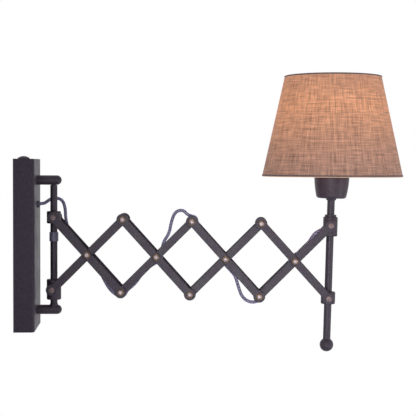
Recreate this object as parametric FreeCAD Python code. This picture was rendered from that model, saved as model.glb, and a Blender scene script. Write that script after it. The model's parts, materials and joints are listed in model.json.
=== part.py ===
"""Accordion wall lamp: wall box, swinging double lattice arm and table-style shade on a hollow rod.

Frame: millimetres, origin on the wall, midway between the two stubs, +X away from the wall, +Z up.
The arm is drawn in its own frame (X along the arm from the wall rod, Y across it, Z up) and then
turned about the wall rod, so that it stands as it does at rest.
"""
import FreeCAD, Part
import math
import os
from FreeCAD import Placement, Rotation, Vector

X_AXIS = Vector(1, 0, 0)
Y_AXIS = Vector(0, 1, 0)
Z_AXIS = Vector(0, 0, 1)
ORIGIN = Vector(0, 0, 0)

# ---- clearances ----
PIVOT_PLAY = 0.25          # radial play of a bar on its pin
LAYER_GAP = 0.3            # between bars, bosses and heads that turn past each other
SHAFT_PLAY = 0.05          # radial play of the wall rod's ends in the stubs
SLIDER_PLAY = 0.4          # radial play of the sliders on their rods
CABLE_PLAY = 0.3           # radial play of the cable in its holes
SHADE_PLAY = 0.35          # between the shade's wire rings and its cover
SOCKET_PLAY = 0.1          # radial play of the bulb cap in the socket's screw shell

# ---- wall box ----
BOX_WIDTH = 104.0
BOX_HEIGHT = 249.0
BOX_RISE = 2.0             # from midway between the stubs up to the box's middle
BOX_DEPTH = 30.0
BOX_SHEET = 1.5
BOX_CORNER_R = 5.5
BOX_RIM_R = 1.2
BRACKET_WIDTH = 60.0
BRACKET_SHEET = 2.0
BRACKET_FLANGE = 20.0
FIXING_HOLE_R = 2.75
FIXING_SPACING = 160.0
MAINS_HOLE_R = 10.0
BOX_SCREW_X = 10.0
BOX_SCREW_R = 2.0
BOX_SCREW_LENGTH = 9.0
BOX_SCREW_HEAD_R = 8.8
BOX_SCREW_HEAD_H = 4.2
BOX_SCREW_HEAD_RIM = 1.2
BLOCK_WIDTH = 28.0
BLOCK_HEIGHT = 18.0
BLOCK_DEPTH = 13.0
BLOCK_SCREW_R = 1.75
BLOCK_SCREW_PITCH = 8.0

# ---- stubs and wall rod ----
STUB_R = 7.0
STUB_REACH = 65.6
STUB_SPAN = 191.0          # between the axes of the two stubs
STUB_TAIL_R = 4.0
STUB_TAIL_LENGTH = 9.0
STUB_BOSS_R = 6.0
STUB_BOSS_RISE = 1.6
NUT_WIDTH = 13.0
NUT_THICKNESS = 5.0
WALL_ROD_X = 54.0
ROD_R = 5.2
ROD_PIN_R = 3.5
ROD_BORE_DEPTH = 9.0
ROD_END_GAP = 2.0          # from the rod's thin ends to the floors of their bores
WALL_COLLAR_R = 10.6
WALL_COLLAR_HEIGHT = 30.0
SLIDER_R = 10.4
SLIDER_HEIGHT = 18.0
SLEEVE_R = 6.6
SLEEVE_RISE = 71.1         # from the wall collar's pivot up to the sleeve
SLEEVE_HEIGHT = 13.3
COLLAR_ROUND = 1.5
BOSS_R = 6.0
BOSS_STAND = 0.1           # how far a fixed collar's pivot boss stands out of its side

# ---- lattice ----
SWING_REST = -4.5          # degrees, the arm's turn about the wall rod at rest
RISING_ANGLE = 45.0        # degrees, slope of the inner bars at rest
FALLING_ANGLE = 47.8       # degrees, slope of the outer bars at rest
BAR_HALF = 73.5            # from a bar's middle pivot to its end pivot
BAR_WIDTH = 11.5
BAR_THICKNESS = 3.0
BAR_END_R = 8.7
BAR_CHAMFER = 0.7
COLLAR_PIVOT_X = -1.4
COLLAR_STAND = 6.2         # from the lower stub's boss up to the wall collar
CROSSINGS = 4
PIN_R = 2.5
PIN_HEAD_R = 4.75
PIN_HEAD_H = 3.2
PIN_HEAD_RIM = 0.9
SPACER_R = 4.0
SHOULDER_R = 3.0
SCREW_THREAD_R = 2.0
SCREW_THREAD_LENGTH = 4.2
SCREW_HEAD_R = 4.2
SCREW_HEAD_H = 2.6
SCREW_HEAD_RIM = 1.7
SCREW_SLOT_WIDTH = 1.1
SCREW_SLOT_DEPTH = 1.0

# ---- lamp side, heights measured along the lamp tube from the upper collar's pivot ----
TUBE_R = 5.5
TUBE_BORE_R = 3.5
TUBE_BOTTOM = -168.2
LAMP_COLLAR_R = 10.6
LAMP_COLLAR_BOTTOM = -16.0
LAMP_COLLAR_HEIGHT = 28.5
LAMP_NECK_R = 8.4
LAMP_NECK_HEIGHT = 3.0
LAMP_SLIDER_R = 10.5
BALL_R = 10.0
BALL_CENTRE = -175.9
BALL_STUD_LENGTH = 11.0
CUP_BOTTOM = 39.6
CUP_HEIGHT = 42.0
CUP_WALL = 1.2
CUP_BASE_R = 22.3
CUP_SIDE_R = 25.5
CUP_FLARE_HEIGHT = 29.0
CUP_CORNER_R = 4.5
CUP_NUT_R = 8.0
CUP_NUT_TIP_R = 6.6
CUP_NUT_HEIGHT = 3.0
HOLDER_R = 19.0
HOLDER_HEIGHT = 52.0
HOLDER_BASE = 5.0
HOLDER_FOOT_CHAMFER = 1.6
HOLDER_CAVITY_R = 15.2
SHELL_HEIGHT = 28.0
SHELL_WALL = 0.5
CONTACT_R = 4.0
CONTACT_HEIGHT = 2.0
INSULATOR_HEIGHT = 8.0
RING_R = 28.0
RING_THICKNESS = 3.0
RING_STAND = 0.4           # from the cup's rim up to the lower shade ring
FITTER_SHEET = 1.5
FITTER_R = 27.0
FITTER_WIRE_SEAT = 24.5
SHADE_BOTTOM = 71.2
SHADE_HEIGHT = 147.0
SHADE_BOTTOM_R = 102.6
SHADE_TOP_R = 70.2
SHADE_WALL = 1.2
SHADE_LEAN = 1.3           # degrees, the shade is seated upright on the leaning tube
WIRE_R = 1.5
SHADE_SPOKES = 3
CAP_R = 13.2
CAP_HEIGHT = 25.0
CAP_TIP_R = 4.5
CAP_TIP_HEIGHT = 2.0
BULB_R = 30.0
BULB_LENGTH = 83.0         # glass above the cap
BULB_NECK_R = 14.3
BULB_NECK_HEIGHT = 10.0
BULB_TANGENT = 35.0        # degrees below the equator where the neck meets the globe

# ---- cable ----
CABLE_R = 2.4
GLAND_Z = 60.0
GLAND_R = 5.0
GLAND_STAND = 3.5
GLAND_TAIL_R = 4.0
GLAND_TAIL_LENGTH = 6.5
GLAND_NUT_THICKNESS = 3.0
GLAND_NUT_WIDTH = 12.0

# The cable's route, chosen by hand, in one list for each piece that carries it. The wall list is in
# the wall frame, the lamp list in the tube's own frame and the others in the arm's frame, with their
# heights from the wall collar's pivot.
CABLE_WALL = [
    (38.5, 0.0, 60.0), (44.0, 9.0, 64.2), (49.0, 18.5, 67.8),
]
CABLE_ROD = [
    (-0.5, 25.5, 134.7), (9.2, 27.0, 130.7), (13.2, 25.5, 118.7), (14.0, 22.8, 104.2),
]
CABLE_LINK_B1 = [
    (17.5, 20.9, 89.7), (26.4, 20.4, 78.6), (36.5, 21.2, 67.5), (45.2, 24.6, 57.9), (54.6, 24.6, 47.5),
    (62.5, 21.2, 35.2), (66.3, 21.2, 24.2), (71.6, 16.0, 14.2), (79.2, 8.0, 3.2), (86.5, 1.5, -4.1),
    (95.0, 0.0, -9.3),
]
CABLE_LINK_A2 = [
    (104.0, 0.0, -9.5), (108.6, 0.0, -0.3), (116.5, 0.0, 5.7), (123.5, 0.0, 13.5), (129.5, 0.0, 22.7),
    (137.0, 0.0, 30.7), (146.0, 0.0, 37.5), (157.2, 0.0, 43.3), (159.6, 0.0, 52.7), (160.8, 0.0, 69.7),
    (170.2, 0.0, 83.2), (173.4, 0.0, 101.7), (179.0, 0.0, 115.7), (190.5, 0.0, 118.3), (197.6, 0.0, 110.3),
]
CABLE_LINK_B3 = [
    (208.5, 0.0, 108.0), (212.6, 0.0, 96.9), (218.5, 0.0, 85.2), (229.0, 0.0, 74.2), (238.0, 0.0, 63.2),
    (246.2, 0.0, 54.2), (246.4, 0.0, 44.3), (259.0, 0.0, 30.9), (267.6, 0.0, 21.7), (272.0, 0.0, 5.9),
    (277.0, 0.0, -8.8), (286.5, 0.0, -16.7), (297.0, 0.0, -17.6),
]
CABLE_LINK_A4 = [
    (308.4, 0.0, -12.3), (311.2, 0.0, -1.9), (324.5, 0.0, 13.7), (337.0, 0.0, 27.2), (347.4, 0.0, 38.7),
    (347.6, 0.0, 47.7), (352.3, 0.0, 51.7), (368.5, 0.0, 61.1), (380.5, 0.0, 74.9), (386.5, 0.0, 82.7),
]
CABLE_LAMP = [
    (-14.0, 0.0, -7.4), (0.0, 0.0, 1.5),
]

# ---- sizes that follow from the ones above ----
BOX_TOP = BOX_RISE + BOX_HEIGHT / 2
BOX_BASE = BOX_RISE - BOX_HEIGHT / 2
STUB_Z = STUB_SPAN / 2
COLLAR_PIVOT_Z = -STUB_Z + STUB_R + STUB_BOSS_RISE + COLLAR_STAND + WALL_COLLAR_HEIGHT / 2
SLEEVE_BOTTOM = COLLAR_PIVOT_Z + SLEEVE_RISE
INNER_FACE = WALL_COLLAR_R + BOSS_STAND + LAYER_GAP        # inner bars start here, either side
INNER_OUT = INNER_FACE + BAR_THICKNESS
OUTER_FACE = INNER_OUT + LAYER_GAP
OUTER_OUT = OUTER_FACE + BAR_THICKNESS
SLIDER_BOSS = OUTER_FACE - LAYER_GAP
FIXED_BOSS = INNER_FACE - LAYER_GAP
ARM = Placement(Vector(WALL_ROD_X, 0, 0), Rotation(Z_AXIS, SWING_REST))
RISING = Vector(math.cos(math.radians(RISING_ANGLE)), 0, math.sin(math.radians(RISING_ANGLE)))
FALLING = Vector(math.cos(math.radians(FALLING_ANGLE)), 0, -math.sin(math.radians(FALLING_ANGLE)))
BAY = (RISING + FALLING) * BAR_HALF
COLLAR_PIVOT = Vector(COLLAR_PIVOT_X, 0, COLLAR_PIVOT_Z)
CENTRES = [COLLAR_PIVOT + RISING * BAR_HALF + BAY * bay for bay in range(CROSSINGS)]
TOPS = [centre + RISING * BAR_HALF for centre in CENTRES]
BOTTOMS = [centre + FALLING * BAR_HALF for centre in CENTRES]
SLIDER_PIVOT = CENTRES[0] - FALLING * BAR_HALF
LAMP_PIVOT = TOPS[-1]
LAMP_SLIDER_PIVOT = BOTTOMS[-1]
TUBE_UP = (LAMP_PIVOT - LAMP_SLIDER_PIVOT).normalize()
TUBE_TILT = math.degrees(math.atan2(TUBE_UP.x, TUBE_UP.z))
LAMP = ARM * Placement(LAMP_PIVOT, Rotation(Y_AXIS, TUBE_TILT))
FITTER_HEIGHT = CUP_BOTTOM + CUP_HEIGHT + RING_STAND + RING_THICKNESS
SEAT = LAMP * Placement(Vector(0, 0, FITTER_HEIGHT), Rotation(Y_AXIS, -SHADE_LEAN))
HOLDER_BOTTOM = CUP_BOTTOM + CUP_WALL
HOLDER_FLOOR = HOLDER_BOTTOM + HOLDER_BASE
HOLDER_TOP = HOLDER_BOTTOM + HOLDER_HEIGHT
CONTACT_TOP = HOLDER_FLOOR + INSULATOR_HEIGHT + CONTACT_HEIGHT
CAP_BOTTOM = CONTACT_TOP + CAP_TIP_HEIGHT
CAP_TOP = CAP_BOTTOM + CAP_HEIGHT
CABLE_HOLE_R = CABLE_R + CABLE_PLAY
CABLE_ARC_SHARE = 0.45


# ---- helpers ----
def rod(radius, low, high, axis=Z_AXIS, through=ORIGIN):
    """A solid cylinder about the line through a point, between two places along its axis."""
    return Part.makeCylinder(radius, high - low, through + axis * low, axis)


def ring(outer, inner, low, high, axis=Z_AXIS, through=ORIGIN):
    return rod(outer, low, high, axis, through).cut(rod(inner, low - 1, high + 1, axis, through))


def hexagon(width, low, high, axis, through):
    """A hexagonal prism, width across its flats."""
    corners = []
    for corner in range(7):
        turn = math.radians(60 * corner)
        corners.append(Vector(math.cos(turn), math.sin(turn), 0) * (width / math.sqrt(3)))
    prism = Part.Face(Part.makePolygon(corners)).extrude(Vector(0, 0, high - low))
    prism.Placement = Placement(through + axis * low, Rotation(Z_AXIS, axis))
    return prism


def turned(edges):
    """A solid of revolution about Z from a closed profile in the XZ plane."""
    return Part.Face(Part.Wire(edges)).revolve(ORIGIN, Z_AXIS, 360)


def outline(points):
    """Straight edges that join profile points (radius, height) in turn."""
    corners = [Vector(radius, 0, height) for radius, height in points]
    return [Part.LineSegment(first, last).toShape() for first, last in zip(corners, corners[1:])]


def arc(first, middle, last):
    return Part.Arc(*[Vector(radius, 0, height) for radius, height in (first, middle, last)]).toShape()


def domed_head(radius, rim, height):
    """A head that stands on Z = 0: a short rim with a spherical cap on it."""
    rise = height - rim
    sphere = (radius ** 2 + rise ** 2) / (2 * rise)
    half = math.asin(radius / sphere) / 2
    crown = (sphere * math.sin(half), height - sphere + sphere * math.cos(half))
    edges = outline([(0, height), (0, 0), (radius, 0), (radius, rim)])
    edges.append(arc((radius, rim), crown, (0, height)))
    return turned(edges)


def facing(shape, side, start, point):
    """Turn a shape that stands on Z = 0 so that it stands out across the arm, to side -1 or +1."""
    shape.Placement = Placement(point + Y_AXIS * (side * start), Rotation(Z_AXIS, Y_AXIS * side))
    return shape


def fuse(shapes):
    return shapes[0].fuse(shapes[1:]).removeSplitter()


def placed(shape, placement):
    shape.Placement = placement * shape.Placement
    return shape


def round_bar(radius, low, high):
    """A solid cylinder on Z with both rims rounded."""
    bar = rod(radius, low, high)
    return bar.makeFillet(COLLAR_ROUND, [edge for edge in bar.Edges if edge.BoundBox.ZLength < 1e-6])


# ---- wall box and what it holds ----
def wall_box():
    """A sheet steel cover, open to the wall, with rounded front edges."""
    half_width = BOX_WIDTH / 2
    cover = Part.makeBox(BOX_DEPTH, BOX_WIDTH, BOX_HEIGHT, Vector(0, -half_width, BOX_BASE))
    upright = [e for e in cover.Edges if e.Length > BOX_HEIGHT - 1 and e.BoundBox.XMin > BOX_DEPTH - 1]
    cover = cover.makeFillet(BOX_CORNER_R, upright)
    front = [e for e in cover.Edges if e.BoundBox.XMax > BOX_DEPTH - 1e-3 and e.BoundBox.ZLength < 1e-3]
    cover = cover.makeFillet(BOX_RIM_R, front)
    inside = Part.makeBox(BOX_DEPTH - BOX_SHEET + 1, BOX_WIDTH - 2 * BOX_SHEET, BOX_HEIGHT - 2 * BOX_SHEET,
                          Vector(-1, BOX_SHEET - half_width, BOX_BASE + BOX_SHEET))
    deep = [e for e in inside.Edges if e.Length > BOX_HEIGHT - 10 and e.BoundBox.XMin > BOX_DEPTH / 2]
    cover = cover.cut(inside.makeFillet(BOX_CORNER_R - BOX_SHEET, deep))
    holes = [rod(STUB_TAIL_R, 0, BOX_DEPTH + 1, X_AXIS, Vector(0, 0, end * STUB_Z)) for end in (-1, 1)]
    holes.append(rod(GLAND_TAIL_R, 0, BOX_DEPTH + 1, X_AXIS, Vector(0, 0, GLAND_Z)))
    holes.append(rod(BOX_SCREW_R, BOX_BASE - 1, BOX_TOP + 1, Z_AXIS, Vector(BOX_SCREW_X, 0, 0)))
    return cover.cut(holes)


def wall_bracket():
    """A folded strap that is screwed to the wall and holds the cover by its two flanges."""
    low, high = BOX_BASE + BOX_SHEET, BOX_TOP - BOX_SHEET
    corner = Vector(0, -BRACKET_WIDTH / 2, low)
    strap = Part.makeBox(BRACKET_SHEET, BRACKET_WIDTH, high - low, corner)
    pieces = [strap]
    for level in (low, high - BRACKET_SHEET):
        corner = Vector(0, -BRACKET_WIDTH / 2, level)
        pieces.append(Part.makeBox(BRACKET_FLANGE, BRACKET_WIDTH, BRACKET_SHEET, corner))
    holes = [rod(MAINS_HOLE_R, -1, BRACKET_SHEET + 1, X_AXIS)]
    for end in (-1, 1):
        place = Vector(0, 0, end * FIXING_SPACING / 2)
        holes.append(rod(FIXING_HOLE_R, -1, BRACKET_SHEET + 1, X_AXIS, place))
    holes.append(rod(BOX_SCREW_R, low - 1, high + 1, Z_AXIS, Vector(BOX_SCREW_X, 0, 0)))
    return fuse(pieces).cut(holes)


def box_screws():
    """Broad domed screws that hold the cover on the bracket, from above and below."""
    screws = []
    for end, level in ((-1, BOX_BASE), (1, BOX_TOP)):
        head = domed_head(BOX_SCREW_HEAD_R, BOX_SCREW_HEAD_RIM, BOX_SCREW_HEAD_H)
        shank = rod(BOX_SCREW_R, -BOX_SCREW_LENGTH, 0)
        screw = fuse([head, shank])
        foot = Vector(BOX_SCREW_X, 0, level)
        screws.append(placed(screw, Placement(foot, Rotation(Z_AXIS, Z_AXIS * end))))
    return Part.makeCompound(screws)


def stub(end):
    """A round arm that carries one end of the wall rod. The lower one has a boss for it to stand on."""
    centre = Vector(0, 0, end * STUB_Z)
    tip = STUB_REACH - STUB_R
    pieces = [rod(STUB_R, BOX_DEPTH, tip, X_AXIS, centre), Part.makeSphere(STUB_R, centre + X_AXIS * tip),
              rod(STUB_TAIL_R, BOX_DEPTH - STUB_TAIL_LENGTH, BOX_DEPTH + 1, X_AXIS, centre)]
    seat = Vector(WALL_ROD_X, 0, end * STUB_Z)
    if end < 0:
        pieces.append(rod(STUB_BOSS_R, 0, STUB_R + STUB_BOSS_RISE, Z_AXIS, seat))
    bore = rod(ROD_PIN_R + SHAFT_PLAY, STUB_R - ROD_BORE_DEPTH, STUB_R + STUB_BOSS_RISE + 1, Z_AXIS * -end, seat)
    return fuse(pieces).cut(bore)


def stub_nuts():
    """Nuts on the stubs' threaded tails, inside the cover."""
    inside = BOX_DEPTH - BOX_SHEET
    nuts = []
    for end in (-1, 1):
        centre = Vector(0, 0, end * STUB_Z)
        nut = hexagon(NUT_WIDTH, inside - NUT_THICKNESS, inside, X_AXIS, centre)
        nuts.append(nut.cut(rod(STUB_TAIL_R, 0, BOX_DEPTH, X_AXIS, centre)))
    return Part.makeCompound(nuts)


def cable_gland():
    """A bushed gland through the front of the cover, with its nut inside."""
    centre = Vector(0, 0, GLAND_Z)
    inside = BOX_DEPTH - BOX_SHEET
    body = rod(GLAND_R, BOX_DEPTH, BOX_DEPTH + GLAND_STAND, X_AXIS, centre)
    lip = [e for e in body.Edges if e.BoundBox.XMin > BOX_DEPTH + GLAND_STAND - 1e-3]
    body = body.makeFillet(GLAND_STAND / 3, lip)
    tail = rod(GLAND_TAIL_R, BOX_DEPTH - GLAND_TAIL_LENGTH, BOX_DEPTH, X_AXIS, centre)
    bore = rod(CABLE_R, 0, BOX_DEPTH + GLAND_STAND + 1, X_AXIS, centre)
    nut = hexagon(GLAND_NUT_WIDTH, inside - GLAND_NUT_THICKNESS, inside, X_AXIS, centre)
    nut = nut.cut(rod(GLAND_TAIL_R, 0, BOX_DEPTH, X_AXIS, centre))
    return Part.makeCompound([fuse([body, tail]).cut(bore), nut])


def terminal_block():
    """A three-way block on the bracket, behind the gland, with its clamp screws."""
    corner = Vector(BRACKET_SHEET, -BLOCK_WIDTH / 2, GLAND_Z - BLOCK_HEIGHT / 2)
    block = Part.makeBox(BLOCK_DEPTH, BLOCK_WIDTH, BLOCK_HEIGHT, corner)
    middle = BRACKET_SHEET + BLOCK_DEPTH / 2
    half_height = BLOCK_HEIGHT / 2
    screws = []
    for way in (-1, 0, 1):
        foot = Vector(middle, way * BLOCK_SCREW_PITCH, GLAND_Z)
        screws.append(rod(BLOCK_SCREW_R, half_height / 2, half_height, Z_AXIS, foot))
    return Part.makeCompound([block.cut(screws)] + screws)


# ---- wall rod, its collar, sleeve and slider ----
def wall_rod():
    """The upright rod, with thinner ends that turn in the stubs."""
    low = -STUB_Z + STUB_R + STUB_BOSS_RISE
    high = STUB_Z - STUB_R
    end = high + ROD_BORE_DEPTH - ROD_END_GAP
    ends = rod(ROD_PIN_R, -end, end)
    shoulder = rod(ROD_R, low + LAYER_GAP, high - LAYER_GAP)
    return fuse([ends, shoulder])


def pivot_bosses(point, reach):
    """One bar across a collar, so that a flat boss faces each pair of bars."""
    return rod(BOSS_R, -reach, reach, Y_AXIS, point)


def collar(radius, height, bore, pivot, reach):
    """A round collar on a rod, centred on its pivot, with bosses and tapped holes for its screws."""
    low = pivot.z - height / 2
    body = fuse([round_bar(radius, low, low + height), pivot_bosses(pivot, reach)])
    depth = reach - SCREW_THREAD_LENGTH
    holes = [rod(SCREW_THREAD_R, depth, reach + 1, Y_AXIS * side, pivot) for side in (-1, 1)]
    return body.cut([rod(bore, low - 1, low + height + 1)] + holes)


def stop_sleeve():
    """The sleeve that stops the slider when the arm is pulled right out."""
    sleeve = rod(SLEEVE_R, SLEEVE_BOTTOM, SLEEVE_BOTTOM + SLEEVE_HEIGHT)
    return sleeve.cut(rod(ROD_R, SLEEVE_BOTTOM - 1, SLEEVE_BOTTOM + SLEEVE_HEIGHT + 1))


def shoulder_screws(pivot, boss, head_start):
    """Slotted shoulder screws, one through the front bar and one through the rear bar."""
    screws = []
    for side in (-1, 1):
        thread = rod(SCREW_THREAD_R, -SCREW_THREAD_LENGTH, 0)
        shoulder = rod(SHOULDER_R, 0, head_start - boss)
        head = domed_head(SCREW_HEAD_R, SCREW_HEAD_RIM, SCREW_HEAD_H)
        slot = Part.makeBox(2 * SCREW_HEAD_R, SCREW_SLOT_WIDTH, SCREW_SLOT_DEPTH + 1,
                            Vector(-SCREW_HEAD_R, -SCREW_SLOT_WIDTH / 2, SCREW_HEAD_H - SCREW_SLOT_DEPTH))
        head = head.cut(slot)
        head.translate(Z_AXIS * (head_start - boss))
        screws.append(facing(fuse([thread, shoulder, head]), side, boss, pivot))
    return Part.makeCompound(screws)


# ---- lattice ----
def link_bar(centre, rising, side, pivot_radii):
    """A flat bar with a round eye at each end. The falling bars lie outside the rising ones."""
    start = INNER_FACE if rising else OUTER_FACE
    thick = Vector(0, BAR_THICKNESS, 0)
    neck = math.sqrt(BAR_END_R ** 2 - (BAR_WIDTH / 2) ** 2)
    edges = []
    for end in (-1, 1):
        eye = end * BAR_HALF
        throat = eye - end * neck
        corners = [Vector(throat, 0, -end * BAR_WIDTH / 2), Vector(eye + end * BAR_END_R, 0, 0),
                   Vector(throat, 0, end * BAR_WIDTH / 2)]
        edges.append(Part.Arc(*corners).toShape())
        far = -throat
        edges.append(Part.LineSegment(corners[2], Vector(far, 0, end * BAR_WIDTH / 2)).toShape())
    plate = Part.Face(Part.Wire(edges)).extrude(thick)
    plate = plate.makeChamfer(BAR_CHAMFER, [e for e in plate.Edges if e.BoundBox.YLength < 1e-6])
    holes = []
    for share, radius in zip((-1, 0, 1), pivot_radii):
        holes.append(rod(radius, -1, BAR_THICKNESS + 1, Y_AXIS, X_AXIS * (share * BAR_HALF)))
    plate = plate.cut(holes)
    plate.translate(Y_AXIS * (start if side > 0 else -start - BAR_THICKNESS))
    slope = -RISING_ANGLE if rising else FALLING_ANGLE
    return placed(plate, Placement(centre, Rotation(Y_AXIS, slope)))


def link_pins(points):
    """Pins through both pairs of bars, with a domed head at each end."""
    pins = []
    head_start = OUTER_OUT + LAYER_GAP
    for point in points:
        pieces = [rod(PIN_R, -head_start, head_start, Y_AXIS, point)]
        for side in (-1, 1):
            head = domed_head(PIN_HEAD_R, PIN_HEAD_RIM, PIN_HEAD_H)
            pieces.append(facing(head, side, head_start, point))
        pins.append(fuse(pieces))
    return Part.makeCompound(pins)


def link_spacers(points):
    """Tubes on the pins that hold the front and rear inner bars apart."""
    return Part.makeCompound([ring(SPACER_R, PIN_R, -INNER_FACE, INNER_FACE, Y_AXIS, p) for p in points])


def lattice():
    """All bars, pins and spacers, each under the name of the bar that carries it."""
    fixed, loose, screwed = PIN_R, PIN_R + PIVOT_PLAY, SHOULDER_R + PIVOT_PLAY
    nodes = {}
    for bay in range(CROSSINGS):
        first, last = bay == 0, bay == CROSSINGS - 1
        rising_holes = (screwed if first else fixed, fixed, screwed if last else fixed)
        falling_holes = (screwed if first else loose, loose, screwed if last else loose)
        for side, word in ((-1, "front"), (1, "rear")):
            number = bay + 1
            nodes[f"link_a{number}_{word}"] = link_bar(CENTRES[bay], True, side, rising_holes)
            nodes[f"link_b{number}_{word}"] = link_bar(CENTRES[bay], False, side, falling_holes)
        carried = [CENTRES[bay]]
        if not first:
            carried.append(BOTTOMS[bay - 1])
        if not last:
            carried.append(TOPS[bay])
        nodes[f"link_pins_a{number}"] = link_pins(carried)
        nodes[f"link_spacers_a{number}"] = link_spacers(carried)
    return nodes


# ---- lamp side, in the tube's own frame ----
def cable_entry():
    """The cutter for the cable's way in: aslant into the collar, then up the tube's bore."""
    start, corner = [Vector(*point) for point in CABLE_LAMP]
    end = Vector(0, 0, HOLDER_FLOOR)
    return round_tube(CABLE_HOLE_R, start, [cable_bend(start, corner, end)], end)[0]


def lamp_tube():
    """The hollow lamp tube, from the ball's stud up into the lampholder."""
    tube = ring(TUBE_R, TUBE_BORE_R, TUBE_BOTTOM, HOLDER_FLOOR)
    return tube.cut(cable_entry())


def lamp_collar():
    """The collar fixed on the lamp tube, with a narrower neck and the cable's hole."""
    low = LAMP_COLLAR_BOTTOM
    high = low + LAMP_COLLAR_HEIGHT
    neck = rod(LAMP_NECK_R, high - 1, high + LAMP_NECK_HEIGHT)
    body = fuse([round_bar(LAMP_COLLAR_R, low, high), neck, pivot_bosses(ORIGIN, FIXED_BOSS)])
    depth = FIXED_BOSS - SCREW_THREAD_LENGTH
    holes = [rod(SCREW_THREAD_R, depth, FIXED_BOSS + 1, Y_AXIS * side) for side in (-1, 1)]
    bore = rod(TUBE_R, low - 1, high + LAMP_NECK_HEIGHT + 1)
    return body.cut([bore, cable_entry()] + holes)


def ball_finial():
    """The ball under the tube, with a seat for its end and a stud that is glued into the bore."""
    ball = Part.makeSphere(BALL_R, Vector(0, 0, BALL_CENTRE)).cut(rod(TUBE_R, TUBE_BOTTOM, 0))
    neck = rod(TUBE_R, BALL_CENTRE, TUBE_BOTTOM)
    stud = rod(TUBE_BORE_R, BALL_CENTRE, TUBE_BOTTOM + BALL_STUD_LENGTH)
    return fuse([ball, neck, stud])


def cup_profile(inset):
    """The cup's outline, drawn in by the inset, as a solid."""
    base = CUP_BOTTOM + inset
    corner = CUP_CORNER_R - inset
    foot_r = CUP_BASE_R - inset
    side_r = CUP_SIDE_R - inset
    flare = CUP_BOTTOM + CUP_FLARE_HEIGHT
    top = CUP_BOTTOM + CUP_HEIGHT + inset
    bend = corner * (1 - math.sqrt(0.5))
    belly = ((foot_r + side_r) / 2 + (side_r - foot_r) / 6, (base + corner + flare) / 2)
    edges = outline([(0, top), (0, base), (foot_r - corner, base)])
    edges.append(arc((foot_r - corner, base), (foot_r - bend, base + bend), (foot_r, base + corner)))
    edges.append(arc((foot_r, base + corner), belly, (side_r, flare)))
    edges += outline([(side_r, flare), (side_r, top), (0, top)])
    return turned(edges)


def holder_cup():
    """The spun cup that covers the lampholder."""
    return cup_profile(0).cut([cup_profile(CUP_WALL), rod(TUBE_R, 0, HOLDER_FLOOR)])


def cup_nut():
    """The tapered nut that holds the cup from below."""
    low = CUP_BOTTOM - CUP_NUT_HEIGHT
    points = [(TUBE_R, low), (CUP_NUT_TIP_R, low), (CUP_NUT_R, CUP_BOTTOM), (TUBE_R, CUP_BOTTOM), (TUBE_R, low)]
    return turned(outline(points))


def lampholder():
    """The lampholder's body on the tube's upper end, open at the top."""
    body = rod(HOLDER_R, HOLDER_BOTTOM, HOLDER_TOP)
    foot = [edge for edge in body.Edges if edge.BoundBox.ZMax < HOLDER_FLOOR]
    body = body.makeChamfer(HOLDER_FOOT_CHAMFER, foot)
    cavity = rod(HOLDER_CAVITY_R, HOLDER_FLOOR, HOLDER_TOP + 1)
    return body.cut([cavity, rod(TUBE_R, HOLDER_BOTTOM - 1, HOLDER_FLOOR + 1)])


def holder_contacts():
    """The insulating foot, the centre contact on it and the screw shell around the bulb's cap."""
    insulator = rod(HOLDER_CAVITY_R, HOLDER_FLOOR, HOLDER_FLOOR + INSULATOR_HEIGHT)
    contact = rod(CONTACT_R, HOLDER_FLOOR + INSULATOR_HEIGHT, CONTACT_TOP)
    shell_r = CAP_R + SOCKET_PLAY
    low = HOLDER_FLOOR + INSULATOR_HEIGHT
    shell = ring(shell_r + SHELL_WALL, shell_r, low, low + SHELL_HEIGHT)
    return Part.makeCompound([insulator, contact, shell])


def shade_rings():
    """Two rings on the lampholder's thread that clamp the shade's fitter between them."""
    lower = ring(RING_R, HOLDER_R, FITTER_HEIGHT - RING_THICKNESS, FITTER_HEIGHT)
    start = FITTER_HEIGHT + FITTER_SHEET
    upper = ring(RING_R, HOLDER_R, start, start + RING_THICKNESS)
    return Part.makeCompound([lower, upper])


def shade_radius(height):
    """The shade's outer radius at a height along its own axis."""
    share = (height - SHADE_BOTTOM) / SHADE_HEIGHT
    return SHADE_BOTTOM_R + (SHADE_TOP_R - SHADE_BOTTOM_R) * share


def in_seat(radius, height, turn):
    """A point of the shade in the frame of its seat."""
    return Vector(radius * math.cos(turn), radius * math.sin(turn), height - FITTER_HEIGHT)


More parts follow.
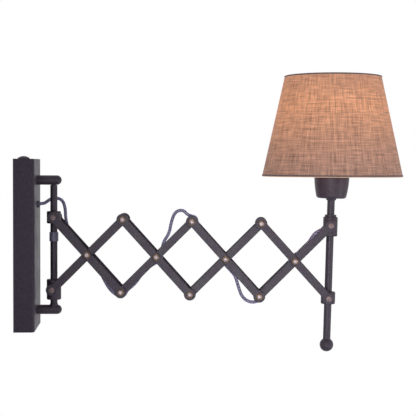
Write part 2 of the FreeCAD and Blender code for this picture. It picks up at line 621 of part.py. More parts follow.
def shade_frame():
    """The wire frame: a fitter plate, three spokes to the lower ring, and the upper ring."""
    heights = (SHADE_BOTTOM + WIRE_R, SHADE_BOTTOM + SHADE_HEIGHT - WIRE_R)
    slant = math.hypot(SHADE_HEIGHT, SHADE_BOTTOM_R - SHADE_TOP_R) / SHADE_HEIGHT
    hoops = []
    for height in heights:
        middle_r = shade_radius(height) - SHADE_WALL - (SHADE_PLAY + WIRE_R) * slant
        hoop = Part.makeTorus(middle_r, WIRE_R, Vector(0, 0, height - FITTER_HEIGHT))
        hoops.append((placed(hoop, SEAT), middle_r))
    plate = ring(FITTER_R, HOLDER_R, FITTER_HEIGHT, FITTER_HEIGHT + FITTER_SHEET)
    pieces = [placed(plate, LAMP), hoops[0][0]]
    for spoke in range(SHADE_SPOKES):
        turn = 2 * math.pi * spoke / SHADE_SPOKES + math.pi / 6
        edge_r = RING_R + WIRE_R
        edge = Vector(math.cos(turn) * edge_r, math.sin(turn) * edge_r, FITTER_HEIGHT + FITTER_SHEET / 2)
        near = LAMP.multVec(edge)
        far = SEAT.multVec(in_seat(hoops[0][1], heights[0], turn))
        pieces.append(Part.makeCylinder(WIRE_R, near.distanceToPoint(far), near, far - near))
        tab = rod(FITTER_SHEET / 2, FITTER_WIRE_SEAT, edge_r, Vector(math.cos(turn), math.sin(turn), 0),
                  Vector(0, 0, FITTER_HEIGHT + FITTER_SHEET / 2))
        pieces.append(placed(tab, LAMP))
    return Part.makeCompound([fuse(pieces), hoops[1][0]])


def shade_cover():
    """The cloth cone on its stiff lining, one wall thick, open at both ends."""
    top = SHADE_BOTTOM + SHADE_HEIGHT
    points = [(SHADE_BOTTOM_R - SHADE_WALL, SHADE_BOTTOM), (SHADE_BOTTOM_R, SHADE_BOTTOM), (SHADE_TOP_R, top),
              (SHADE_TOP_R - SHADE_WALL, top), (SHADE_BOTTOM_R - SHADE_WALL, SHADE_BOTTOM)]
    cone = turned(outline([(radius, height - FITTER_HEIGHT) for radius, height in points]))
    return placed(cone, SEAT)


def bulb_cap():
    """The bulb's screw cap with its contact tip."""
    return fuse([rod(CAP_R, CAP_BOTTOM, CAP_TOP), rod(CAP_TIP_R, CONTACT_TOP, CAP_BOTTOM)])


def bulb_glass():
    """The globe and neck of the bulb."""
    centre = CAP_TOP + BULB_LENGTH - BULB_R
    turn = math.radians(BULB_TANGENT)
    meet = (BULB_R * math.cos(turn), centre - BULB_R * math.sin(turn))
    neck_top = CAP_TOP + BULB_NECK_HEIGHT
    edges = outline([(0, centre + BULB_R), (0, CAP_TOP), (CAP_R, CAP_TOP), (BULB_NECK_R, neck_top), meet])
    edges.append(arc(meet, (BULB_R, centre), (0, centre + BULB_R)))
    return turned(edges)


# ---- cable ----
def cable_bend(before, corner, after):
    """The tangent arc at a corner of the route, as large as its two runs allow."""
    back = before - corner
    ahead = after - corner
    half_turn = (math.pi - back.getAngle(ahead)) / 2
    reach = CABLE_ARC_SHARE * min(back.Length, ahead.Length)
    radius = reach / math.tan(half_turn)
    back.normalize()
    ahead.normalize()
    middle = corner + (back + ahead).normalize() * (radius / math.cos(half_turn) - radius)
    return corner + back * reach, middle, corner + ahead * reach, radius, 2 * radius * half_turn


def round_tube(radius, start, bends, end):
    """A round tube along straight runs and their bends, and the length of its path."""
    edges = []
    length = 0.0
    place = start
    for enter, middle, leave, _, bend_length in bends:
        edges.append(Part.LineSegment(place, enter).toShape())
        edges.append(Part.Arc(enter, middle, leave).toShape())
        length += place.distanceToPoint(enter) + bend_length
        place = leave
    edges.append(Part.LineSegment(place, end).toShape())
    length += place.distanceToPoint(end)
    section = Part.Wire(Part.makeCircle(radius, start, bends[0][0] - start))
    return Part.Wire(edges).makePipeShell([section], True, False), length


def cables():
    """The cable in one piece for each body that carries it, end to end along its whole route."""
    level = ARM * Placement(Vector(0, 0, COLLAR_PIVOT_Z), Rotation())
    routes = (("cable_wall", CABLE_WALL, Placement()), ("cable_rod", CABLE_ROD, level),
              ("cable_link_b1", CABLE_LINK_B1, level), ("cable_link_a2", CABLE_LINK_A2, level),
              ("cable_link_b3", CABLE_LINK_B3, level), ("cable_link_a4", CABLE_LINK_A4, level),
              ("cable_lamp", CABLE_LAMP, LAMP))
    points = [Vector(BRACKET_SHEET + BLOCK_DEPTH, 0, GLAND_Z)]
    owners = []
    for name, route, frame in routes:
        owners += [name] * len(route)
        points += [frame.multVec(Vector(*point)) for point in route]
    points.append(LAMP.multVec(Vector(0, 0, HOLDER_FLOOR)))
    bends = [cable_bend(*three) for three in zip(points, points[1:], points[2:])]
    borders = [points[0]]
    for place in range(1, len(owners)):
        if owners[place] != owners[place - 1]:
            borders.append((points[place] + points[place + 1]) * 0.5)
    borders.append(points[-1])
    nodes = {}
    for (name, _, _), start, end in zip(routes, borders, borders[1:]):
        own = [bend for bend, owner in zip(bends, owners) if owner == name]
        nodes[name], length = round_tube(CABLE_R, start, own, end)
        filled = nodes[name].Volume / (math.pi * CABLE_R ** 2 * length)
        radii = " ".join(f"{bend[3]:.1f}" for bend in own)
        print(f"{name}: length {length:.1f} mm, volume over section times length {filled:.4f}, radii {radii}")
    return nodes


def build():
    """Every node of the lamp, by name, in the wall frame."""
    nodes = {
        "wall_box": wall_box(),
        "wall_bracket": wall_bracket(),
        "box_screws": box_screws(),
        "stub_upper": stub(1),
        "stub_lower": stub(-1),
        "stub_nuts": stub_nuts(),
        "cable_gland": cable_gland(),
        "terminal_block": terminal_block(),
    }
    arm = {
        "wall_rod": wall_rod(),
        "wall_collar": collar(WALL_COLLAR_R, WALL_COLLAR_HEIGHT, ROD_R, COLLAR_PIVOT, FIXED_BOSS),
        "wall_collar_screws": shoulder_screws(COLLAR_PIVOT, FIXED_BOSS, INNER_OUT + LAYER_GAP),
        "stop_sleeve": stop_sleeve(),
        "wall_slider": collar(SLIDER_R, SLIDER_HEIGHT, ROD_R + SLIDER_PLAY, SLIDER_PIVOT, SLIDER_BOSS),
        "wall_slider_screws": shoulder_screws(SLIDER_PIVOT, SLIDER_BOSS, OUTER_OUT + LAYER_GAP),
    }
    arm.update(lattice())
    slider_height = -(LAMP_PIVOT - LAMP_SLIDER_PIVOT).Length
    lamp = {
        "lamp_tube": lamp_tube(),
        "lamp_collar": lamp_collar(),
        "lamp_collar_screws": shoulder_screws(ORIGIN, FIXED_BOSS, INNER_OUT + LAYER_GAP),
        "lamp_slider": collar(LAMP_SLIDER_R, SLIDER_HEIGHT, TUBE_R + SLIDER_PLAY,
                              Vector(0, 0, slider_height), SLIDER_BOSS),
        "lamp_slider_screws": shoulder_screws(Vector(0, 0, slider_height), SLIDER_BOSS, OUTER_OUT + LAYER_GAP),
        "ball_finial": ball_finial(),
        "holder_cup": holder_cup(),
        "cup_nut": cup_nut(),
        "lampholder": lampholder(),
        "holder_contacts": holder_contacts(),
        "shade_rings": shade_rings(),
        "bulb_cap": bulb_cap(),
        "bulb_glass": bulb_glass(),
    }
    nodes.update({name: placed(shape, ARM) for name, shape in arm.items()})
    nodes.update({name: placed(shape, LAMP) for name, shape in lamp.items()})
    nodes["shade_frame"] = shade_frame()
    nodes["shade_cover"] = shade_cover()
    nodes.update(cables())
    return nodes


os.makedirs("parts", exist_ok=True)
for node, shape in build().items():
    shape.exportStep(f"parts/{node}.step")
    if not shape.isValid() or any(solid.Volume <= 0 for solid in shape.Solids) or not shape.Solids:
        print("check", node)
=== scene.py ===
import json
import math

import bpy
from mathutils import Matrix, Vector


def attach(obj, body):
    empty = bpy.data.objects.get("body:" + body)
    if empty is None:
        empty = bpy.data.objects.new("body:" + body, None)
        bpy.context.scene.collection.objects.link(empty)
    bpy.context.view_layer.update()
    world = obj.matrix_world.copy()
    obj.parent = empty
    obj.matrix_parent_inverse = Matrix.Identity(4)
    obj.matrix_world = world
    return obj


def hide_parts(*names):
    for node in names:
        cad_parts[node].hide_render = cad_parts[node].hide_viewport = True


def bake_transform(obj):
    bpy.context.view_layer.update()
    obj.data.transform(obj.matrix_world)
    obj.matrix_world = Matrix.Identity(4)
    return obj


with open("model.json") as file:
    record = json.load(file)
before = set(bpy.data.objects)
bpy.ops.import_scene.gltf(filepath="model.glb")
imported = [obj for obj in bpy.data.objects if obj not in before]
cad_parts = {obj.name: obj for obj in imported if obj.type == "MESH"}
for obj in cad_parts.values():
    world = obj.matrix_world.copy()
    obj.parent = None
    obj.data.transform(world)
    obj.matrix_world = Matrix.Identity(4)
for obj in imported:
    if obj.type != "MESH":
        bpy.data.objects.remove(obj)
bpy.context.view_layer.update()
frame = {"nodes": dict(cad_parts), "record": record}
NODES = frame["nodes"]
SLOTS = {part["node"]: part["material_slot"] for part in frame["record"]["subparts"]}

# ---- the frames that the source uses, in metres ----
ROD_OUT = 0.054                             # the wall rod's axis, out from the wall
LAMP_PIVOT = (0.406576, 0, 0.030814)        # the lamp collar's pivot in the arm's frame
SEAT_RISE = 0.085                           # the fitter seat above that pivot, along the tube
ARM_TURN, TUBE_TILT, SHADE_LEAN = (math.radians(angle) for angle in (-4.5, 1.4, -1.3))
ARM = Matrix.Translation((ROD_OUT, 0, 0)) @ Matrix.Rotation(ARM_TURN, 4, "Z")
LAMP = ARM @ Matrix.Translation(LAMP_PIVOT) @ Matrix.Rotation(TUBE_TILT, 4, "Y")
SEAT = LAMP @ Matrix.Translation((0, 0, SEAT_RISE)) @ Matrix.Rotation(SHADE_LEAN, 4, "Y")
MM = 0.001
WHITE = (1, 1, 1, 1)


# ---- material helpers ----
def new_material(name):
    made = bpy.data.materials.new(name)
    made.use_nodes = True
    return made, made.node_tree, made.node_tree.nodes["Principled BSDF"]


def put(tree, socket, value):
    if isinstance(value, bpy.types.NodeSocket):
        tree.links.new(value, socket)
    else:
        socket.default_value = value


def add(tree, kind, inputs=None, **settings):
    node = tree.nodes.new(kind)
    for name, value in settings.items():
        setattr(node, name, value)
    for name, value in (inputs or {}).items():
        put(tree, node.inputs[name], value)
    return node


def coords(tree, kind="Object", stretch=(1, 1, 1)):
    """Texture coordinates, with a scale for each axis."""
    place = add(tree, "ShaderNodeTexCoord").outputs[kind]
    return add(tree, "ShaderNodeMapping", {"Vector": place, "Scale": stretch}).outputs[0]


def noise(tree, place, scale, detail=2.0, roughness=0.5):
    inputs = {"Vector": place, "Scale": scale, "Detail": detail, "Roughness": roughness}
    return add(tree, "ShaderNodeTexNoise", inputs).outputs["Fac"]


def calc(tree, operation, first, second=0.0):
    return add(tree, "ShaderNodeMath", {0: first, 1: second}, operation=operation).outputs[0]


def spread(tree, value, low, high, to_low=0.0, to_high=1.0):
    """Maps low..high to to_low..to_high, held at both ends."""
    node = add(tree, "ShaderNodeMapRange", {0: value, 1: low, 2: high, 3: to_low, 4: to_high}, clamp=True)
    return node.outputs[0]


def blend_colour(tree, share, first, second):
    node = add(tree, "ShaderNodeMix", data_type="RGBA")
    put(tree, node.inputs[0], share)
    put(tree, node.inputs[6], first)
    put(tree, node.inputs[7], second)
    return node.outputs[2]


def bump(tree, shader, height, distance, strength=1.0):
    node = add(tree, "ShaderNodeBump", {"Height": height, "Distance": distance, "Strength": strength})
    put(tree, shader.inputs["Normal"], node.outputs[0])


def srgb(red, green, blue):
    """A colour as seen, 0 to 255, in linear light."""
    parts = [value / 255 for value in (red, green, blue)]
    return (*[p / 12.92 if p < 0.04045 else ((p + 0.055) / 1.055) ** 2.4 for p in parts], 1.0)


def speckled(name, dark, light, rough=(0.4, 0.54), metallic=0.0, grain=800.0, relief=0.00002,
             stretch=(1, 1, 1), shine=0.5):
    """A hard finish: fine grain over broad cloudy changes, in colour, gloss and relief."""
    made, tree, shader = new_material(name)
    place = coords(tree, stretch=stretch)
    fine = noise(tree, place, grain, 3.0, 0.6)
    broad = noise(tree, coords(tree), 45.0, 3.0, 0.55)
    share = calc(tree, "ADD", calc(tree, "MULTIPLY", fine, 0.7), calc(tree, "MULTIPLY", broad, 0.3))
    put(tree, shader.inputs["Base Color"], blend_colour(tree, spread(tree, share, 0.36, 0.64), dark, light))
    put(tree, shader.inputs["Roughness"], spread(tree, broad, 0.3, 0.7, *rough))
    shader.inputs["Metallic"].default_value = metallic
    shader.inputs["Specular IOR Level"].default_value = shine
    bump(tree, shader, fine, relief)
    return made


def domed_brass():
    """A dull brass ring round a greyer dome; the ring is where the surface leans from the pin's axis."""
    made, tree, shader = new_material("brass_heads")
    facing = add(tree, "ShaderNodeTexCoord").outputs["Normal"]
    axis = ARM.to_3x3() @ Vector((0, 1, 0))
    lean = add(tree, "ShaderNodeVectorMath", {0: facing, 1: axis}, operation="DOT_PRODUCT").outputs["Value"]
    lean = calc(tree, "ABSOLUTE", lean)
    wear = noise(tree, coords(tree), 900.0, 3.0)
    brass = blend_colour(tree, spread(tree, wear, 0.35, 0.65), srgb(86, 68, 54), srgb(150, 124, 96))
    dome = blend_colour(tree, spread(tree, wear, 0.35, 0.65), srgb(134, 122, 128), srgb(196, 186, 192))
    put(tree, shader.inputs["Base Color"], blend_colour(tree, spread(tree, lean, 0.86, 0.91), brass, dome))
    put(tree, shader.inputs["Roughness"], spread(tree, wear, 0.3, 0.7, 0.36, 0.52))
    shader.inputs["Metallic"].default_value = 0.7
    groove = calc(tree, "MULTIPLY", spread(tree, lean, 0.84, 0.87, 1.0, 0.0), spread(tree, lean, 0.8, 0.83))
    bump(tree, shader, calc(tree, "SUBTRACT", wear, groove), 0.0002)
    return made


YARNS_ROUND = 3.0           # yarns of one set, counted round the cable
BRAID_PITCH = 0.0023        # metres along the cable from one yarn to the next


def textile():
    """Round braid: two sets of yarns wound both ways, light flecks in one set."""
    made, tree, shader = new_material("textile_cable")
    place = add(tree, "ShaderNodeTexCoord").outputs["UV"]
    parts = add(tree, "ShaderNodeSeparateXYZ", {0: place}).outputs
    turn = calc(tree, "MULTIPLY", parts[0], YARNS_ROUND)
    along = calc(tree, "MULTIPLY", parts[1], 1.0 / BRAID_PITCH)
    right = calc(tree, "SINE", calc(tree, "MULTIPLY", calc(tree, "ADD", turn, along), math.tau))
    left = calc(tree, "SINE", calc(tree, "MULTIPLY", calc(tree, "SUBTRACT", turn, along), math.tau))
    light = calc(tree, "MULTIPLY", spread(tree, right, -0.35, 0.55), spread(tree, left, -1.1, 0.2, 0.35, 1.0))
    fuzz = noise(tree, coords(tree), 900.0, 2.0)
    light = calc(tree, "MULTIPLY", light, spread(tree, fuzz, 0.3, 0.6, 0.55, 1.0))
    dark = blend_colour(tree, spread(tree, left, -0.5, 0.5), srgb(36, 32, 62), srgb(74, 70, 112))
    put(tree, shader.inputs["Base Color"], blend_colour(tree, light, dark, srgb(206, 202, 236)))
    shader.inputs["Roughness"].default_value = 0.85
    shader.inputs["Sheen Weight"].default_value = 0.25
    bump(tree, shader, calc(tree, "MAXIMUM", right, left), 0.00025)
    return made


THIN_SHARE, SLUB_SHARE = 0.62, 0.38     # of plain yarns and of slubs in the weave
SLUB_SCALE = 0.42                       # a slub's pattern against a plain yarn's
# the bulb's glow through the shade is painted on as emission, rising to a peak up the side and fading towards
# the top
GLOW_PEAK, GLOW_END = 105.0, 190.0      # millimetres up the shade's side


def threads(tree, stretch):
    """Slubbed yarns in one direction: noise drawn out along them."""
    place = coords(tree, "UV", stretch)
    thin = noise(tree, place, 1.0, 2.0, 0.6)
    slubs = noise(tree, coords(tree, "UV", [scale * SLUB_SCALE for scale in stretch]), 1.0, 1.0)
    thin = calc(tree, "MULTIPLY", thin, THIN_SHARE)
    return calc(tree, "ADD", thin, calc(tree, "MULTIPLY", slubs, SLUB_SHARE))


def linen(name, dark, light, glow, lit):
    """Slubbed weave in UV millimetres, with the bulb's light through the cloth painted on as emission; lit is
    how bright that painted glow is at the peak.
    """
    made, tree, shader = new_material(name)
    warp = threads(tree, (0.85, 0.055, 1))
    weft = threads(tree, (0.05, 0.85, 1))
    weave = calc(tree, "ADD", calc(tree, "MULTIPLY", warp, 0.5), calc(tree, "MULTIPLY", weft, 0.5))
    body = spread(tree, weave, 0.37, 0.62)
    put(tree, shader.inputs["Base Color"], blend_colour(tree, body, dark, light))
    shader.inputs["Roughness"].default_value = 0.9
    shader.inputs["Sheen Weight"].default_value = 0.15
    shader.inputs["Specular IOR Level"].default_value = 0.2
    bump(tree, shader, weave, 0.0006, 0.8)
    # painted glow: a bell up the side, brighter where the weave is thinner
    height = add(tree, "ShaderNodeSeparateXYZ", {0: coords(tree, "UV")}).outputs[1]
    rise = spread(tree, height, 0.0, GLOW_PEAK)
    fall = spread(tree, height, GLOW_PEAK, GLOW_END, 1.0, 0.45)
    rise = spread(tree, calc(tree, "POWER", rise, 1.3), 0.0, 1.0, 0.3, 1.0)
    glow_bell = calc(tree, "MULTIPLY", rise, fall)
    thin = spread(tree, weave, 0.4, 0.6, 0.45, 1.25)
    put(tree, shader.inputs["Emission Color"], glow)
    painted_glow = calc(tree, "MULTIPLY", glow_bell, thin)
    put(tree, shader.inputs["Emission Strength"], calc(tree, "MULTIPLY", painted_glow, lit))
    return made


def lining():
    """Pale inside of the shade, with the bulb's light painted on as emission that grows towards the bulb's
    height.
    """
    made, tree, shader = new_material("shade_lining")
    grain = noise(tree, coords(tree, "UV", (0.4, 0.4, 1)), 1.0, 3.0)
    plain = blend_colour(tree, grain, srgb(190, 160, 130), srgb(222, 200, 172))
    put(tree, shader.inputs["Base Color"], plain)
    shader.inputs["Roughness"].default_value = 0.5
    height = add(tree, "ShaderNodeSeparateXYZ", {0: coords(tree, "UV")}).outputs[1]
    # painted bulb light on the inside: faint at the bottom edge, strongest near the bulb
    put(tree, shader.inputs["Emission Color"], srgb(255, 176, 96))
    put(tree, shader.inputs["Emission Strength"], spread(tree, height, -30.0, 110.0, 0.02, 0.8))
    return made


def glass():
    made, tree, shader = new_material("frosted_glass")
    haze = noise(tree, coords(tree), 120.0, 2.0)
    pale = blend_colour(tree, haze, srgb(250, 236, 214), srgb(255, 246, 232))
    put(tree, shader.inputs["Base Color"], pale)
    put(tree, shader.inputs["Roughness"], spread(tree, haze, 0.3, 0.7, 0.35, 0.5))
    shader.inputs["Emission Color"].default_value = srgb(255, 205, 140)
    shader.inputs["Emission Strength"].default_value = 1.1
    return made


METAL_DARK, METAL_LIGHT = srgb(34, 29, 38), srgb(71, 62, 77)
FINISH = {
    "black_brown_metal": speckled("black_brown_metal", METAL_DARK, METAL_LIGHT, shine=0.3),
    "zinc_steel": speckled("zinc_steel", srgb(150, 152, 156), srgb(196, 198, 200), (0.3, 0.45), 0.9, 700.0),
    "gland_plastic": speckled("gland_plastic", srgb(62, 64, 76), srgb(86, 88, 102), (0.5, 0.6)),
    "terminal_plastic": speckled("terminal_plastic", srgb(214, 212, 204), srgb(230, 228, 222), (0.4, 0.5)),
    "copper_screw": speckled("copper_screw", srgb(92, 78, 80), srgb(140, 122, 124), (0.45, 0.6), 0.5, 1100.0),
    "brass_heads": domed_brass(),
    "grey_sleeve": speckled("grey_sleeve", srgb(86, 86, 108), srgb(112, 112, 134), (0.35, 0.5)),
    "black_plastic": speckled("black_plastic", srgb(30, 29, 30), srgb(46, 45, 46), (0.35, 0.5)),
    "brass": speckled("brass", srgb(176, 138, 74), srgb(212, 178, 108), (0.25, 0.4), 0.9, 700.0),
    "white_wire": speckled("white_wire", srgb(214, 208, 196), srgb(234, 230, 220), (0.35, 0.5)),
    "nickel_cap": speckled("nickel_cap", srgb(168, 166, 160), srgb(206, 204, 198), (0.2, 0.35), 0.95, 700.0),
    "textile_cable": textile(),
    # linen with the bulb's glow painted on in orange
    "linen": linen("linen", srgb(100, 84, 80), srgb(170, 145, 135), (1.0, 0.36, 0.08, 1.0), 0.5),
    "frosted_glass": glass(),
}
BOX_FINISH = speckled("box_sheet", srgb(50, 44, 55), srgb(66, 59, 73), (0.4, 0.52), 0.0, 420.0,
                      0.00003, (1, 1, 0.5), shine=0.16)
# the hem takes a faint painted glow of the same orange as the linen
HEM = linen("shade_hem", srgb(84, 74, 76), srgb(122, 108, 106), (1.0, 0.36, 0.07, 1.0), 0.02)
LINING = lining()

for node, obj in NODES.items():
    for held in obj.material_slots:
        held.material = BOX_FINISH if node == "wall_box" else FINISH[SLOTS[node]]


# ---- mesh helpers ----
def grid_mesh(name, rows, uvs, material):
    """A tube of quads through equal closed rows of points; uvs has one more column than a row."""
    count = len(rows[0])
    mesh = bpy.data.meshes.new(name)
    faces = []
    for row in range(len(rows) - 1):
        for column in range(count):
            after = (column + 1) % count
            faces.append((row * count + column, row * count + after,
                          (row + 1) * count + after, (row + 1) * count + column))
    mesh.from_pydata([tuple(point) for row in rows for point in row], [], faces)
    layer = mesh.uv_layers.new(name="UVMap")
    corner = 0
    for row in range(len(rows) - 1):
        for column in range(count):
            for place in ((row, column), (row, column + 1), (row + 1, column + 1), (row + 1, column)):
                layer.data[corner].uv = uvs(*place)
                corner += 1
    mesh.polygons.foreach_set("use_smooth", [True] * len(mesh.polygons))
    mesh.materials.append(material)
    obj = bpy.data.objects.new(name, mesh)
    bpy.context.scene.collection.objects.link(obj)
    return obj


def route_line(points):
    """Points along the smooth NURBS line that has the route's points as its control points."""
    curve = bpy.data.curves.new("route", "CURVE")
    curve.dimensions = "3D"
    curve.resolution_u = 14
    spline = curve.splines.new("NURBS")
    spline.points.add(len(points) - 1)
    for held, place in zip(spline.points, points):
        held.co = (*place, 1)
    spline.order_u = 3
    spline.use_endpoint_u = True
    carrier = bpy.data.objects.new("route", curve)
    bpy.context.scene.collection.objects.link(carrier)
    mesh = bpy.data.meshes.new_from_object(carrier)
    line = [vertex.co.copy() for vertex in mesh.vertices]
    bpy.data.objects.remove(carrier)
    return line


def sweep(name, line, arcs, frames, radius, material, sides=24):
    """A round tube along a line; UVs are the share round it and the metres along it."""
    rows = []
    for point, (across, up) in zip(line, frames):
        turns = [math.tau * side / sides for side in range(sides)]
        rows.append([point + (across * math.cos(turn) + up * math.sin(turn)) * radius for turn in turns])
    return grid_mesh(name, rows, lambda row, side: (side / sides, arcs[row]), material)


def carried_frames(line):
    """Across and up directions carried along the line without twist."""
    frames = []
    across = Vector((0, 1, 0))
    for index in range(len(line)):
        along = (line[min(index + 1, len(line) - 1)] - line[max(index - 1, 0)]).normalized()
        across = (across - along * across.dot(along)).normalized()
        frames.append((across, along.cross(across)))
    return frames


# ---- cable: the source's route, with the arm's last two points about 3 mm further out ----
CABLE_R = 2.4 * MM
WALL_POINTS = [(15, 0, 60), (38.5, 0, 60), (44, 9, 64.2), (49, 18.5, 67.8)]
ARM_POINTS = [
    (-0.5, 25.5, 69), (9.2, 27, 65), (13.2, 25.5, 53), (14, 22.8, 38.5), (17.5, 20.9, 24),
    (26.4, 20.4, 12.9), (36.5, 21.2, 1.8), (45.2, 24.6, -7.8), (54.6, 24.6, -18.2), (62.5, 21.2, -30.5),
    (66.3, 21.2, -41.5), (71.6, 16, -51.5), (79.2, 8, -62.5), (86.5, 1.5, -69.8), (95, 0, -75),
    (104, 0, -75.2), (108.6, 0, -66), (116.5, 0, -60), (123.5, 0, -52.2), (129.5, 0, -43), (137, 0, -35),
    (146, 0, -28.2), (157.2, 0, -22.4), (159.6, 0, -13), (160.8, 0, 4), (170.2, 0, 17.5), (173.4, 0, 36),
    (179, 0, 50), (190.5, 0, 52.6), (197.6, 0, 44.6), (208.5, 0, 42.3), (212.6, 0, 31.2), (218.5, 0, 19.5),
    (229, 0, 8.5), (238, 0, -2.5), (246.2, 0, -11.5), (246.4, 0, -21.4), (259, 0, -34.8), (267.6, 0, -44),
    (272, 0, -59.8), (277, 0, -74.5), (286.5, 0, -82.4), (297, 0, -83.3), (308.4, 0, -78),
    (311.2, 0, -67.6), (324.5, 0, -52), (337, 0, -38.5), (347.4, 0, -27), (347.6, 0, -18), (352.3, 0, -14),
    (368.5, 0, -4.6), (378.5, 0, 11.2), (384.2, 0, 19.3),
]
LAMP_POINTS = [(-14, 0, -7.4), (0, 0, 1.5), (0, 0, 45.8)]
ROUTE = [Vector(point) * MM for point in WALL_POINTS]
ROUTE += [ARM @ (Vector(point) * MM) for point in ARM_POINTS]
ROUTE += [LAMP @ (Vector(point) * MM) for point in LAMP_POINTS]

LINE = route_line(ROUTE)
ARCS = [0.0]
for first, last in zip(LINE, LINE[1:]):
    ARCS.append(ARCS[-1] + (last - first).length)
FRAMES = carried_frames(LINE)


def on_arm(x, y, z):
    return ARM @ (Vector((x, y, z)) * MM)


def nearest(point):
    return min(range(len(LINE)), key=lambda index: (LINE[index] - point).length)


def cable_piece(name, node, first, last, bodies, start=None):
    """The cable between two places on its line, carried by its first body, or left in place on no body where
    a start is given.
    """
    low, high = nearest(first), nearest(last)
    part = slice(low, high + 1)
    piece = sweep(name, LINE[part], ARCS[part], FRAMES[part], CABLE_R, FINISH["textile_cable"])
    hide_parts(node)
    if start is None:
        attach(piece, bodies[0])
    else:
        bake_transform(piece)


AT_ROD = on_arm(-0.5, 25.5, 68)
ON_B1 = on_arm(26.4, 20.4, 12.9)
ON_A2 = on_arm(133.2, 0, -39)
AT_T2 = on_arm(203, 0, 43.4)
ON_B3 = on_arm(233.5, 0, 3)
ON_A4 = on_arm(331, 0, -45)
IN_BOX, TUBE_TOP = ROUTE[0], ROUTE[-1]
cable_piece("cable_feed", "cable_wall", IN_BOX, AT_ROD, ("wall", "swing"),
            Vector((0.036, 0, 0.06)))
cable_piece("cable_drop", "cable_rod", AT_ROD, ON_B1, ("wall_slider", "link_b1"),
            on_arm(12.5, 25, 50))
cable_piece("cable_first_low", "cable_link_b1", ON_B1, ON_A2, ("link_b1", "link_a2"),
            on_arm(88, 0, -69))
cable_piece("cable_loop_up", "cable_link_a2", ON_A2, AT_T2, ("link_a2",))
cable_piece("cable_loop_down", "cable_link_b3", AT_T2, ON_B3, ("link_b3",))
cable_piece("cable_second_low", "cable_link_a4", ON_B3, ON_A4, ("link_b3", "link_a4"),
            on_arm(290, 0, -81))
cable_piece("cable_lamp_end", "cable_lamp", ON_A4, TUBE_TOP, ("link_a4", "lamp"),
            on_arm(379, 0, 8))

# ---- shade ----
SHADE_LOW, SHADE_HIGH = -13.8, 133.2      # along the shade's own axis, from the fitter seat
LOW_R, HIGH_R = 102.6, 70.2
ROUND = 240                               # steps round the shade
ROLL_ROUND = 16                           # steps round a rolled edge
ROLL_STEP_ROUND, ROLL_STEP_OVER = 2.2, 0.6      # their UVs: round the shade and over the roll
HEM_INSET, HEM_R = 0.55, 1.15


def shade_ring(radius, height):
    turns = [math.tau * (step + 0.5) / ROUND for step in range(ROUND)]
    ring = [Vector((math.sin(turn) * radius, math.cos(turn) * radius, height)) for turn in turns]
    return [SEAT @ (point * MM) for point in ring]


def cone_radius(share):
    return LOW_R + (HIGH_R - LOW_R) * share


def cone_height(share):
    return SHADE_LOW + (SHADE_HIGH - SHADE_LOW) * share


def cone(name, inset, low, high, material, rows=60):
    """A band of the shade's cone, UVs in millimetres round the middle and up the side."""
    levels = [low + (high - low) * row / rows for row in range(rows + 1)]
    slant = math.hypot(SHADE_HIGH - SHADE_LOW, LOW_R - HIGH_R)
    rings = [shade_ring(cone_radius(share) - inset, cone_height(share)) for share in levels]
    middle = math.tau * (LOW_R + HIGH_R) / 2

    def uvs(row, step):
        return middle * step / ROUND, slant * levels[row]

    return grid_mesh(name, rings, uvs, material)


def roll(name, share, material):
    """A rolled edge round the shade, at a share of its height."""
    middle, height = cone_radius(share) - HEM_INSET, cone_height(share)
    rings = []
    for step in range(ROLL_ROUND + 1):
        turn = math.tau * step / ROLL_ROUND
        rings.append(shade_ring(middle + math.cos(turn) * HEM_R, height + math.sin(turn) * HEM_R))
    return grid_mesh(name, rings, lambda row, step: (step * ROLL_STEP_ROUND, row * ROLL_STEP_OVER), material)


# insets are in millimetres, and the bands' ends are shares of the shade's height
cover = cone("shade_linen", 0.1, 0.004, 0.996, FINISH["linen"])
inner = cone("shade_inner", 0.8, -0.001, 0.99, LINING, 30)
low_hem = roll("shade_low_hem", 0.012, HEM)
high_hem = roll("shade_high_hem", 0.99, HEM)
for piece in (inner, low_hem, high_hem):
    piece.parent = cover
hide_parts("shade_cover")
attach(cover, "lamp")

# ---- floor, world, lamps, camera ----
FLOOR_SIDE, FLOOR_MORE, FLOOR_Z = 1.9, 0.5, -0.72       # half its side, and more of it to the right
FLOOR_GLOW = 0.45
STUDIO_LIGHT = (0.4, 0.365, 0.41, 1)


def shows_background(tree):
    """1 for rays that show the background, straight or by way of gloss or glass, and 0 for others."""
    rays = add(tree, "ShaderNodeLightPath").outputs
    bounced = calc(tree, "MAXIMUM", rays["Is Glossy Ray"], rays["Is Transmission Ray"])
    return calc(tree, "MAXIMUM", rays["Is Camera Ray"], bounced)


def floor_finish():
    """A plain pale floor that still takes the object's shadow."""
    made = speckled("floor_plain", srgb(238, 238, 238), srgb(244, 244, 244), (0.8, 0.9), grain=30.0,
                    relief=0.0)
    tree = made.node_tree
    shader = tree.nodes["Principled BSDF"]
    shader.inputs["Emission Color"].default_value = WHITE
    put(tree, shader.inputs["Emission Strength"], calc(tree, "MULTIPLY", shows_background(tree), FLOOR_GLOW))
    return made


floor_left, floor_right = -FLOOR_SIDE, FLOOR_SIDE + FLOOR_MORE
floor_mesh = bpy.data.meshes.new("floor")
floor_mesh.from_pydata([(floor_left, -FLOOR_SIDE, FLOOR_Z), (floor_right, -FLOOR_SIDE, FLOOR_Z),
                        (floor_right, FLOOR_SIDE, FLOOR_Z), (floor_left, FLOOR_SIDE, FLOOR_Z)],
                       [], [(0, 1, 2, 3)])
floor_mesh.materials.append(floor_finish())
floor = bpy.data.objects.new("floor", floor_mesh)
bpy.context.scene.collection.objects.link(floor)

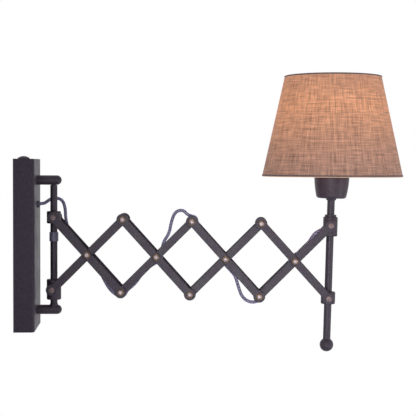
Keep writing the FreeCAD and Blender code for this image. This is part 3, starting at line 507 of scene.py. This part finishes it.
world = bpy.data.worlds.new("studio")
bpy.context.scene.world = world
world.use_nodes = True
world_tree = world.node_tree
put(world_tree, world_tree.nodes["Background"].inputs["Color"],
    blend_colour(world_tree, shows_background(world_tree), STUDIO_LIGHT, WHITE))


def lamp(name, kind, place, aim, power, **settings):
    """A lamp of so many watts at a place, turned to its aim."""
    data = bpy.data.lights.new(name, kind)
    data.energy = power
    for setting, value in settings.items():
        setattr(data, setting, value)
    obj = bpy.data.objects.new(name, data)
    obj.location = place
    obj.rotation_mode = "QUATERNION"
    obj.rotation_quaternion = (Vector(aim) - Vector(place)).to_track_quat("-Z", "Y")
    bpy.context.scene.collection.objects.link(obj)


lamp("wash", "SPOT", (0.16, -1.5, -0.15), (0.46, 0, 0.08), 27, shadow_soft_size=0.2,
     spot_size=math.radians(33), spot_blend=0.6)
lamp("strip_right", "AREA", (1.45, -0.6, -0.45), (0.3, 0, 0.03), 5.0, shape="RECTANGLE", size=0.2,
     size_y=0.9)
lamp("strip_left", "AREA", (0.0, -1.0, 0.1), (0.52, 0, 0.08), 0.35, shape="RECTANGLE", size=0.14,
     size_y=1.1, spread=math.radians(56))

# the camera, as fitted to the photograph
CAMERA_PLACE = (0.18306, -1.68071, 0.1191)
YAW, PITCH, ROLL = (math.radians(angle) for angle in (3.3496, 2.192, 0.2169))
FOCAL_PIXELS, PHOTO_PIXELS, SENSOR = 1134.8, 416, 36
ahead = Vector((math.sin(YAW) * math.cos(PITCH), math.cos(YAW) * math.cos(PITCH), -math.sin(PITCH)))
level = ahead.cross(Vector((0, 0, 1))).normalized()
upward = level.cross(ahead)
right = level * math.cos(ROLL) + upward * math.sin(ROLL)
top = upward * math.cos(ROLL) - level * math.sin(ROLL)
optics = bpy.data.cameras.new("camera")
optics.sensor_width = SENSOR
optics.lens = FOCAL_PIXELS * SENSOR / PHOTO_PIXELS
camera = bpy.data.objects.new("camera", optics)
turned = Matrix((right, top, -ahead)).transposed().to_4x4()
camera.matrix_world = Matrix.Translation(CAMERA_PLACE) @ turned
bpy.context.scene.collection.objects.link(camera)
bpy.context.scene.camera = camera
bpy.context.scene.view_settings.view_transform = "Standard"
